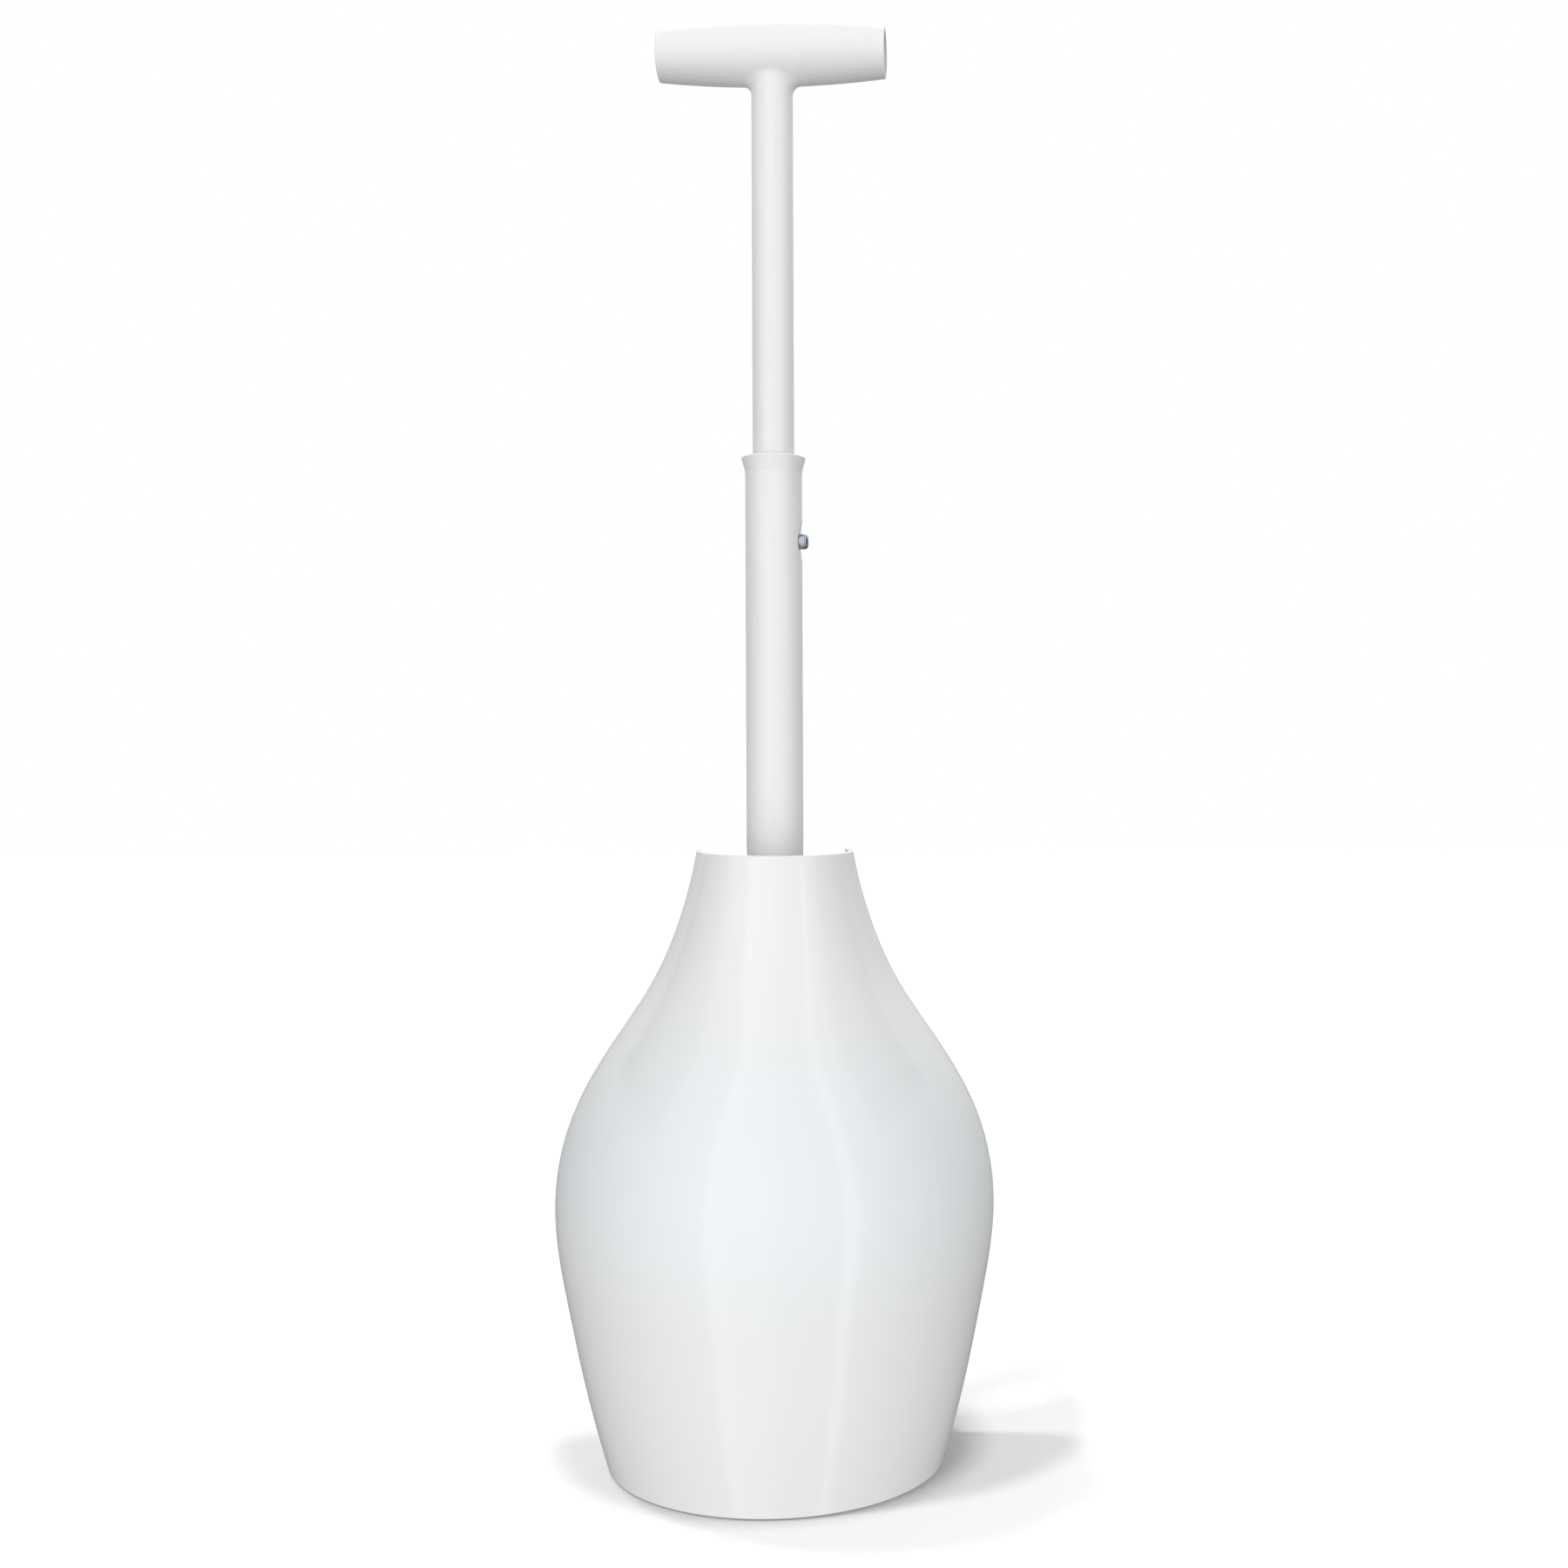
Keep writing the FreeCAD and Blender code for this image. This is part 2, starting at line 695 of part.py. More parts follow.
def rubber_cup():
    """The force cup in one moulding: socket neck, domed bell, rolled lip and flange.

    Its section is a chain of tangent arcs: the dome, the roll of the lip, and the flange
    that turns down inside the lip to stand on the holder's base.
    """
    body = new_body("rubber_cup")
    wall, crown, floor = S["cup_wall"], S["cup_crown"], S["cup_floor"]
    lip, roll, middle = S["lip_radius"], S["lip_roll"], S["lip_height"]
    dome_x = S["dome_centre"]
    dome = lip - dome_x
    roll_x = lip - roll
    flange = middle - roll - floor
    crown_x = dome_x + third_side(dome - wall, crown - middle)
    # the hollow fillet between the neck's foot and the dome
    neck, foot = S["neck_outer"], S["neck_foot"]
    foot_x = neck + foot
    foot_z = middle + third_side(dome + foot, foot_x - dome_x)
    share = dome / (dome + foot)
    meet_x = dome_x + (foot_x - dome_x) * share
    meet_z = middle + (foot_z - middle) * share
    neck_top, neck_round = S["neck_top"], S["neck_round"]
    ledge = neck_top - S["plug_shoulder_height"]
    socket = S["stud_radius"] + S["stud_play"]
    mouth = S["plug_shoulder"] + S["stud_play"]
    hole = S["cup_screw_shank"] + S["crown_play"]
    turned(body, "cup", [
        (hole, crown),
        (crown_x, crown),
        (lip - wall, middle),
        (roll_x, middle - roll + wall),
        (roll_x - flange - wall, floor),
        (roll_x - flange, floor),
        (roll_x, middle - roll),
        (lip, middle),
        (meet_x, meet_z),
        (neck, foot_z),
        (neck, neck_top - neck_round),
        (neck - neck_round, neck_top),
        (mouth, neck_top),
        (mouth, ledge),
        (socket, ledge),
        (socket, S["stud_bottom"]),
        (hole, S["stud_bottom"]),
    ], arcs={1: (dome - wall, -1), 2: (roll - wall, -1), 3: (flange + wall, 1),
             5: (flange, -1), 6: (roll, 1), 7: (dome, 1), 8: (foot, -1),
             10: (neck_round, 1)})


# ---------------------------------------------------------------- handle

def t_handle():
    """The grip and the inner shaft, moulded in one, both of them hollow."""
    body = new_body("t_handle")
    half = S["grip_length"] / 2
    centre = S["grip_height"]
    bulge = S["grip_radius"].value - S["grip_end_radius"].value
    arc_radius = (half.value ** 2 + bulge ** 2) / (2 * bulge)
    # barrel outline drawn about the sketch's own horizontal axis, then lifted into place
    sketch = sketch_on(body, "XZ_Plane", "barrel_outline")
    sketch.AttachmentOffset = Placement(Vector(0, centre.value, 0), Rotation())
    sketch.setExpression(".AttachmentOffset.Base.y", centre.text)
    draw_outline(sketch, [
        (-half, 0), (half, 0), (half, S["grip_end_radius"]), (-half, S["grip_end_radius"]),
    ], arcs={2: (arc_radius, 1)})
    barrel = body.newObject("PartDesign::Revolution", "barrel")
    barrel.Profile = sketch
    barrel.ReferenceAxis = (sketch, ["H_Axis"])
    barrel.Angle = 360
    shaft = turned(body, "shaft", [
        (0, S["shaft_bottom"]), (S["shaft_radius"], S["shaft_bottom"]),
        (S["shaft_radius"], centre), (0, centre),
    ])
    doc.recompute()

    def saddle(edge):
        box = edge.BoundBox
        return (box.ZMax < centre.value - 5 and box.ZMin > centre.value - 20
                and box.XMax < S["shaft_radius"].value + 0.1)
    fillet = round_edges(body, "saddle", shaft, S["saddle_fillet"], saddle)
    doc.recompute()

    def grip_end(edge):
        return (isinstance(edge.Curve, Part.Circle)
                and abs(abs(edge.Curve.Center.x) - half.value) < 0.01)
    round_edges(body, "end_round", fillet, S["grip_end_round"], grip_end)
    doc.recompute()
    bore_sketch = sketch_on(body, "XZ_Plane", "grip_bore_outline")
    bore_sketch.AttachmentOffset = Placement(Vector(0, centre.value, 0), Rotation())
    bore_sketch.setExpression(".AttachmentOffset.Base.y", centre.text)
    bore_end = S["grip_end_radius"] - S["grip_wall"]
    draw_outline(bore_sketch, [(-half - 1, 0), (half + 1, 0), (half + 1, bore_end),
                               (-half - 1, bore_end)],
                 arcs={2: (arc_radius, 1)})
    bore = body.newObject("PartDesign::Groove", "grip_bore")
    bore.Profile = bore_sketch
    bore.ReferenceAxis = (bore_sketch, ["H_Axis"])
    bore.Angle = 360
    roof = centre - S["grip_radius"] - S["shaft_bore_roof"]
    turned(body, "shaft_bore", [
        (0, S["shaft_bottom"]), (S["shaft_bore"], S["shaft_bottom"]),
        (S["shaft_bore"], roof), (0, roof + S["shaft_bore_cone"]),
    ], cut=True)
    turned(body, "stop_groove", [
        (S["stop_groove"], S["stop_height"]),
        (S["shaft_radius"] + 1, S["stop_height"]),
        (S["shaft_radius"] + 1, S["stop_height"] + S["stop_width"]),
        (S["stop_groove"], S["stop_height"] + S["stop_width"]),
    ], cut=True)
    bored(body, "button_window", "YZ_Plane", 0, S["button_height"],
          S["button_radius"] + S["button_play"], S["tube_radius"], both_ways=False,
          backwards=True)


def stop_ring():
    """The ring in the shaft's groove, which meets the bush when the handle is pulled out."""
    body = new_body("stop_ring")
    top = S["stop_height"] + S["stop_width"]
    turned(body, "ring", [
        (S["stop_groove"], S["stop_height"]),
        (S["slider_radius"], S["stop_height"]),
        (S["slider_radius"], top),
        (S["stop_groove"], top),
    ])


def shaft_plug():
    """The sliding plug in the shaft's lower end; its flange runs in the tube's bore."""
    body = new_body("shaft_plug")
    top = S["shaft_bottom"]
    bottom = top - S["end_plug_flange"]
    spigot = top + S["end_plug_spigot"]
    chamfer = S["end_plug_chamfer"]
    turned(body, "plug", [
        (0, bottom),
        (S["slider_radius"] - chamfer, bottom),
        (S["slider_radius"], bottom + chamfer),
        (S["slider_radius"], top),
        (S["shaft_bore"], top),
        (S["shaft_bore"], spigot - chamfer),
        (S["shaft_bore"] - chamfer, spigot),
        (0, spigot),
    ])


# ---------------------------------------------------------------- snap button

def button_spring():
    """A bent steel strip inside the shaft; one leg carries the button."""
    body = new_body("button_spring")
    strip = S["spring_strip"]
    leg = S["spring_leg"]
    bend = S["spring_bottom"] + leg
    inner = leg - strip
    sketch = draw_outline(sketch_on(body, "XZ_Plane", "strip_outline"), [
        (leg, bend), (leg, S["spring_top"]), (inner, S["spring_top"]), (inner, bend),
        (-inner, bend), (-inner, S["spring_top"]), (-leg, S["spring_top"]), (-leg, bend),
    ], arcs={3: (inner, -1, bend), 7: (leg, 1, bend)})
    pad = body.newObject("PartDesign::Pad", "strip")
    pad.Profile = sketch
    pad.Midplane = True
    pad.setExpression("Length", S["spring_width"].text)
    bored(body, "rivet_hole", "YZ_Plane", 0, S["button_height"], S["rivet_radius"],
          S["tube_radius"], both_ways=False, backwards=True)


def snap_button():
    """The domed steel button, riveted through the spring's leg."""
    body = new_body("snap_button")
    height = S["button_height"]
    inner = S["spring_leg"] - S["spring_strip"]
    sketch = sketch_on(body, "XZ_Plane", "button_outline")
    sketch.AttachmentOffset = Placement(Vector(0, height.value, 0), Rotation())
    sketch.setExpression(".AttachmentOffset.Base.y", height.text)
    shoulder = S["button_tip"] - S["button_dome"]
    radius = S["button_radius"]
    rivet = inner - S["rivet_head_height"]
    draw_outline(sketch, [
        (rivet, 0),
        (S["button_tip"], 0),
        (S["button_tip"], radius - S["button_dome"]),
        (shoulder, radius),
        (S["spring_leg"], radius),
        (S["spring_leg"], S["rivet_radius"]),
        (inner, S["rivet_radius"]),
        (inner, S["rivet_head"]),
        (rivet, S["rivet_head"]),
    ], arcs={2: (S["button_dome"], 1)})
    button = body.newObject("PartDesign::Revolution", "button")
    button.Profile = sketch
    button.ReferenceAxis = (sketch, ["H_Axis"])
    button.Angle = 360


# ---------------------------------------------------------------- build and write

def check_and_write():
    """Refuse a failed feature or an invalid solid, then write one STEP file per node."""
    doc.recompute()
    for item in doc.Objects:
        if "Invalid" in item.State or "Error" in item.State:
            raise RuntimeError(f"{item.Name} ({item.Label}) failed: {item.State}")
    os.makedirs("parts", exist_ok=True)
    for node in NODES:
        shape = node.Shape
        if shape.isNull() or not shape.isValid() or shape.Volume <= 0:
            raise RuntimeError(f"{node.Label} has no valid solid")
        shape.exportStep(f"parts/{node.Label}.step")
        box = shape.BoundBox
        print(f"{node.Label:16s} solids {len(shape.Solids)} volume {shape.Volume:10.1f}  "
              f"x {box.XMin:.1f}..{box.XMax:.1f}  y {box.YMin:.1f}..{box.YMax:.1f}  "
              f"z {box.ZMin:.1f}..{box.ZMax:.1f}")


holder_shell()
holder_base()
base_screws()
nonslip_pad()
outer_tube()
guide_bush()
tube_plug()
plug_pin()
screw_insert()
cup_washer()
cup_screw()
rubber_cup()
t_handle()
stop_ring()
shaft_plug()
button_spring()
snap_button()
check_and_write()
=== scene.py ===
import math

import bpy
from mathutils import Matrix, Vector


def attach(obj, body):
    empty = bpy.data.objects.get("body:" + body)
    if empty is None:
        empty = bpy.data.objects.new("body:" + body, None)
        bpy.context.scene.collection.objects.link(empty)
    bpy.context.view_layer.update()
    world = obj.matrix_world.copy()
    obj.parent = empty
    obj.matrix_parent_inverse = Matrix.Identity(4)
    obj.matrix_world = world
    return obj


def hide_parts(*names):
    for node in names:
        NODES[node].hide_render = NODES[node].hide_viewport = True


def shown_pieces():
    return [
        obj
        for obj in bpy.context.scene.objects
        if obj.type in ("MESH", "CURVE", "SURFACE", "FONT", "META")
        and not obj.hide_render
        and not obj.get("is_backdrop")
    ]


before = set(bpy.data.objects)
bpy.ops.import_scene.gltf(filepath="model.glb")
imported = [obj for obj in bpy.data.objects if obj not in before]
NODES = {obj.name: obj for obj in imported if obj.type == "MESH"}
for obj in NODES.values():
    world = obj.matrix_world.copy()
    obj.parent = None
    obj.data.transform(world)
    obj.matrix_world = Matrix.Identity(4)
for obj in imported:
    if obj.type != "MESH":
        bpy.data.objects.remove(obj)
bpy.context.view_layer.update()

MM = 0.001

# heights on the holder, in metres: where its level lines come in and fade out again over the
# shoulder, and where its colour by height ends, just above the rim: painted shade, darker and
# cooler on the shoulder
LINES_COME_IN = (0.120, 0.165)
LINES_FADE_OUT = (0.185, 0.215)
PAINTED_SHADE_END = 0.26

# the rubber cup's section, in millimetres: arc centres as (radius, height), then sizes
BELL_CENTRE = (12.0, 36.0)
LIP_CENTRE = (61.4, 36.0)
FLANGE_CENTRE = (61.4, 7.05)
BELL_RADIUS = 56.0
BELL_INSIDE = 53.1
NECK_RADIUS = 16.0
RIB_HEIGHT = 0.7
FLASH_HEIGHT = 0.35
# ribs round the neck: middle height, half width, how far each one stands up
NECK_RIBS = ((116.6, 2.4, RIB_HEIGHT), (111.0, 1.3, 0.8 * RIB_HEIGHT),
             (106.6, 1.3, 0.8 * RIB_HEIGHT))
# ribs round the bell, placed by angle above the bell's centre in degrees; the last is flash
BELL_RIBS = ((55.0, 1.7, RIB_HEIGHT), (30.0, 1.7, RIB_HEIGHT), (0.0, 0.35, FLASH_HEIGHT))
# the angle that the bell's arc covers, the points along it, and the steps once round the cup
BELL_SWEEP = 79.95
BELL_STEPS = 180
CUP_TURNS = 192

# the sky's lobes: name, the way each one lies, strength, and how tightly it is gathered
SKY_ALL_ROUND = 0.15
SKY_LOBES = (
    ("front", (0.0, -1.0, 0.2), 0.66, 1.0),
    ("left", (-1.0, -0.2, 0.1), 0.25, 1.0),
    ("right", (1.0, -0.2, 0.1), 0.29, 1.0),
    ("back", (0.0, 1.0, 1.0), 1.50, 3.0),
    ("above", (0.0, 0.0, 1.0), 0.10, 1.0),
    ("below", (0.0, 0.0, -1.0), 0.04, 1.0),
)
# softboxes: from azimuth, to azimuth, strength over the sky
SOFTBOXES = ((-31.0, 5.0, 0.50), (-31.0, -18.0, 0.60), (41.5, 49.0, 1.30))
# how far each softbox's edge fades, to either side, in degrees
SOFTBOX_EDGE = 1.5
# the floor's own white, and the glow that lifts it
FLOOR_WHITE = 0.25
FLOOR_GLOW = 0.18
# black panels beside the handle: name, x, y, width, bottom and top, in metres
FLAGS = (
    ("flag_right", 0.27, -0.02, 0.24, 0.27, 0.54),
    ("flag_left", -0.30, -0.02, 0.30, 0.27, 0.54),
)
# the floor's lamps: name, azimuth, elevation, what each adds to the floor, angle it fills
FLOOR_LAMPS = (
    ("left_front", -44.0, 63.0, 0.22, 7.0),
    ("left", -104.0, 70.0, 0.20, 7.0),
    ("front", 22.0, 79.0, 0.30, 11.0),
)


# ---------------------------------------------------------------- small node-tree helpers

class Graph:
    """A material or world node tree with short calls for making and joining nodes."""

    def __init__(self, tree):
        self.tree = tree
        self.tree.nodes.clear()

    def add(self, kind, **settings):
        """Make a node. A setting is one of its properties or, failing that, a socket."""
        node = self.tree.nodes.new(kind)
        for name, value in settings.items():
            if hasattr(node, name):
                setattr(node, name, value)
            else:
                self.set(node, name.replace("_", " "), value)
        return node

    def set(self, node, socket, value):
        """Link another node's output to a socket, or give the socket a fixed value."""
        found = next(s for s in node.inputs if s.name.lower() == socket.lower())
        if isinstance(value, bpy.types.NodeSocket):
            self.tree.links.new(value, found)
        else:
            found.default_value = value

    def math(self, operation, a, b=0.0, c=0.0):
        node = self.add("ShaderNodeMath", operation=operation)
        for socket, value in zip(node.inputs, (a, b, c)):
            if isinstance(value, bpy.types.NodeSocket):
                self.tree.links.new(value, socket)
            else:
                socket.default_value = value
        return node.outputs[0]

    def place(self, stretch=(1.0, 1.0, 1.0)):
        """The part's own coordinates, in metres, scaled: a small scale draws a pattern out."""
        coordinates = self.add("ShaderNodeTexCoord").outputs["Object"]
        mapping = self.add("ShaderNodeMapping")
        self.tree.links.new(coordinates, mapping.inputs["Vector"])
        mapping.inputs["Scale"].default_value = stretch
        return mapping.outputs["Vector"]

    def axis(self, letter):
        """One of the part's own coordinates, in metres: Z is the height above the floor."""
        coordinates = self.add("ShaderNodeTexCoord").outputs["Object"]
        split = self.add("ShaderNodeSeparateXYZ")
        self.tree.links.new(coordinates, split.inputs[0])
        return split.outputs[letter]

    def noise(self, scale, detail=4.0, roughness=0.55, stretch=(1.0, 1.0, 1.0)):
        node = self.add("ShaderNodeTexNoise", Scale=scale, Detail=detail, Roughness=roughness)
        self.tree.links.new(self.place(stretch), node.inputs["Vector"])
        return node.outputs[0]

    def between(self, value, low, high, start=0.0, stop=1.0, smooth=False):
        """Map value from low..high to start..stop, clamped."""
        node = self.add("ShaderNodeMapRange", clamp=True)
        if smooth:
            node.interpolation_type = "SMOOTHSTEP"
        for name, number in (("From Min", low), ("From Max", high), ("To Min", start),
                             ("To Max", stop)):
            node.inputs[name].default_value = number
        self.tree.links.new(value, node.inputs["Value"])
        return node.outputs["Result"]

    def colours(self, factor, *stops):
        """A colour ramp: stops are (place, (r, g, b))."""
        ramp = self.add("ShaderNodeValToRGB")
        elements = ramp.color_ramp.elements
        while len(elements) < len(stops):
            elements.new(0.5)
        for element, (place, colour) in zip(elements, stops):
            element.position = place
            element.color = (*colour, 1.0)
        self.tree.links.new(factor, ramp.inputs[0])
        return ramp.outputs["Color"]

    def bump(self, height, distance, under=None):
        node = self.add("ShaderNodeBump", Strength=1.0, Distance=distance)
        self.tree.links.new(height, node.inputs["Height"])
        if under is not None:
            self.tree.links.new(under, node.inputs["Normal"])
        return node.outputs["Normal"]


def new_material(name, metallic=0.0, ior=1.5, subsurface=0.0):
    """A material with a Principled shader; its uniform values go straight on the sockets."""
    material = bpy.data.materials.new(name)
    material.use_nodes = True
    graph = Graph(material.node_tree)
    shader = graph.add("ShaderNodeBsdfPrincipled")
    output = graph.add("ShaderNodeOutputMaterial")
    material.node_tree.links.new(shader.outputs[0], output.inputs["Surface"])
    shader.inputs["Metallic"].default_value = metallic
    shader.inputs["IOR"].default_value = ior
    shader.inputs["Subsurface Weight"].default_value = subsurface
    if subsurface:
        shader.inputs["Subsurface Radius"].default_value = (1.0, 0.9, 0.8)
        shader.inputs["Subsurface Scale"].default_value = 1.5 * MM
    return material, graph, shader


# ---------------------------------------------------------------- materials

def shell_plastic():
    """Satin white plastic of the holder, with faint level lines; its colour by height is
    painted shade, darker and cooler on the shoulder.
    """
    material, graph, shader = new_material("shell_plastic", ior=1.47)
    height = graph.axis("Z")
    # level lines, clearest on the shoulder between the belly and the throat
    lines = graph.noise(1.0, 2.0, stretch=(6.0, 6.0, 900.0))
    zone_low = graph.between(height, *LINES_COME_IN, 0.25, 1.0, smooth=True)
    zone_high = graph.between(height, *LINES_FADE_OUT, 1.0, 0.25, smooth=True)
    zone = graph.math("MULTIPLY", zone_low, zone_high)
    lines_here = graph.math("MULTIPLY", lines, zone)
    cloud = graph.noise(9.0, 3.0)
    level = graph.math("MULTIPLY_ADD", cloud, 0.03, height)
    level = graph.math("MULTIPLY_ADD", lines_here, 0.05, level)
    # painted shade: colour set by height, darker and cooler on the shoulder and a little
    # lighter at the rim; the random cloud and the real level lines ride on it
    colour = graph.colours(
        graph.between(level, 0.0, PAINTED_SHADE_END),
        (0.00, (0.848, 0.848, 0.845)),
        (0.29, (0.848, 0.850, 0.850)),
        (0.45, (0.836, 0.854, 0.862)),
        (0.62, (0.816, 0.846, 0.854)),
        (0.78, (0.838, 0.856, 0.864)),
        (1.00, (0.862, 0.862, 0.868)),
    )
    graph.set(shader, "Base Color", colour)
    patches = graph.noise(35.0, 5.0)
    graph.set(shader, "Roughness", graph.between(patches, 0.3, 0.7, 0.11, 0.15))
    ripple = graph.noise(14.0, 2.0)
    grain = graph.noise(2600.0, 2.0)
    normal = graph.bump(ripple, 0.10 * MM)
    normal = graph.bump(lines_here, 0.022 * MM, under=normal)
    normal = graph.bump(grain, 0.004 * MM, under=normal)
    graph.set(shader, "Normal", normal)
    return material


def drawn_plastic(name, colour_low, colour_high, roughness, streak, seam=False):
    """White plastic with soft streaks that run up and down, as on a drawn tube."""
    material, graph, shader = new_material(name, ior=1.47)
    streaks = graph.noise(1.0, 3.0, stretch=(260.0, 260.0, 14.0))
    graph.set(shader, "Base Color", graph.colours(
        graph.between(streaks, 0.3, 0.7), (0.0, colour_low), (1.0, colour_high)))
    mottle = graph.noise(60.0, 4.0)
    graph.set(shader, "Roughness", graph.between(mottle, 0.3, 0.7, roughness - 0.03,
                                                 roughness + 0.05))
    grain = graph.noise(2400.0, 2.0)
    normal = graph.bump(streaks, streak)
    normal = graph.bump(grain, 0.004 * MM, under=normal)
    if seam:
        # the mould's parting line: a hairline round the middle of the grip
        from_middle = graph.math("ABSOLUTE", graph.axis("X"))
        ridge = graph.between(from_middle, 0.0, 0.25 * MM, 1.0, 0.0, smooth=True)
        normal = graph.bump(ridge, 0.03 * MM, under=normal)
    graph.set(shader, "Normal", normal)
    return material


def moulded_nylon():
    """Unpainted nylon of the two plugs, a little translucent."""
    material, graph, shader = new_material("plug_nylon", ior=1.52, subsurface=0.05)
    mottle = graph.noise(90.0, 5.0)
    graph.set(shader, "Base Color", graph.colours(
        mottle, (0.3, (0.70, 0.70, 0.68)), (0.7, (0.77, 0.77, 0.75))))
    graph.set(shader, "Roughness", graph.between(mottle, 0.3, 0.7, 0.42, 0.52))
    graph.set(shader, "Normal", graph.bump(graph.noise(1800.0, 2.0), 0.006 * MM))
    return material


def rubber(name, dark, light, roughness):
    """Moulded rubber with a fine grain and a faint dusty bloom."""
    material, graph, shader = new_material(name, ior=1.5)
    shader.inputs["Sheen Weight"].default_value = 0.08
    shader.inputs["Sheen Roughness"].default_value = 0.5
    bloom = graph.noise(22.0, 6.0, 0.6)
    graph.set(shader, "Base Color", graph.colours(bloom, (0.35, dark), (0.75, light)))
    graph.set(shader, "Roughness", graph.between(bloom, 0.3, 0.7, roughness - 0.06,
                                                 roughness + 0.08))
    normal = graph.bump(graph.noise(45.0, 3.0), 0.10 * MM)
    normal = graph.bump(graph.noise(2200.0, 3.0), 0.010 * MM, under=normal)
    graph.set(shader, "Normal", normal)
    return material


def metal(name, colour, roughness, brushed=0.0, stretch=(1.0, 1.0, 1.0)):
    """Bare metal, its fine scratches drawn out along the axis with the smallest scale."""
    material, graph, shader = new_material(name, metallic=1.0)
    tone = graph.noise(300.0, 4.0)
    darker = tuple(0.86 * part for part in colour)
    graph.set(shader, "Base Color", graph.colours(tone, (0.3, darker), (0.7, colour)))
    scratches = graph.noise(1500.0, 3.0, stretch=stretch)
    graph.set(shader, "Roughness", graph.between(scratches, 0.3, 0.7, roughness * 0.8,
                                                 roughness * 1.3))
    if brushed:
        graph.set(shader, "Normal", graph.bump(scratches, brushed))
    return material


def dress_nodes():
    """Give every CAD node its material."""
    handle = drawn_plastic("handle_plastic", (0.842, 0.842, 0.852), (0.862, 0.862, 0.870),
                           0.36, 0.02 * MM, seam=True)
    tube = drawn_plastic("tube_plastic", (0.845, 0.842, 0.846), (0.872, 0.870, 0.874),
                         0.40, 0.10 * MM)
    base = drawn_plastic("base_plastic", (0.83, 0.83, 0.83), (0.85, 0.85, 0.85), 0.42,
                         0.01 * MM)
    bush = drawn_plastic("bush_acetal", (0.74, 0.74, 0.72), (0.78, 0.78, 0.76), 0.34,
                         0.01 * MM)
    nylon = moulded_nylon()
    cup = rubber("cup_rubber", (0.030, 0.031, 0.034), (0.060, 0.060, 0.064), 0.56)
    pad = rubber("pad_rubber", (0.070, 0.070, 0.072), (0.105, 0.105, 0.108), 0.72)
    chrome = metal("polished_steel", (0.40, 0.43, 0.49), 0.08)
    zinc = metal("zinc_steel", (0.62, 0.63, 0.65), 0.30, brushed=0.004 * MM)
    strip = metal("spring_steel", (0.46, 0.46, 0.46), 0.28, brushed=0.006 * MM,
                  stretch=(1.0, 1.0, 0.05))
    brass = metal("brass", (0.75, 0.56, 0.26), 0.24, brushed=0.004 * MM)
    dress = {
        "holder_shell": shell_plastic(), "holder_base": base, "nonslip_pad": pad,
        "base_screws": zinc, "outer_tube": tube, "guide_bush": bush, "tube_plug": nylon,
        "plug_pin": zinc, "screw_insert": brass, "cup_washer": zinc, "cup_screw": zinc,
        "rubber_cup": cup, "t_handle": handle, "stop_ring": bush, "shaft_plug": nylon,
        "button_spring": strip, "snap_button": chrome,
    }
    for name, material in dress.items():
        mesh = NODES[name].data
        mesh.materials.clear()
        mesh.materials.append(material)


# ---------------------------------------------------------------- the rubber cup

def arc(centre, radius, start, stop, steps):
    """Points along an arc of the section, its angles in degrees from +r towards +z."""
    points = []
    for step in range(steps + 1):
        angle = math.radians(start + (stop - start) * step / steps)
        points.append((centre[0] + radius * math.cos(angle),
                       centre[1] + radius * math.sin(angle)))
    return points


def bead(across, middle, half, height):
    """How far a rounded rib stands up at a place across it."""
    place = abs(across - middle) / half
    return height * math.sqrt(1.0 - place * place) if place < 1.0 else 0.0


def stand_up(across, ribs):
    """How far all of the ribs together stand up at a place across them."""
    return sum(bead(across, *rib) for rib in ribs)


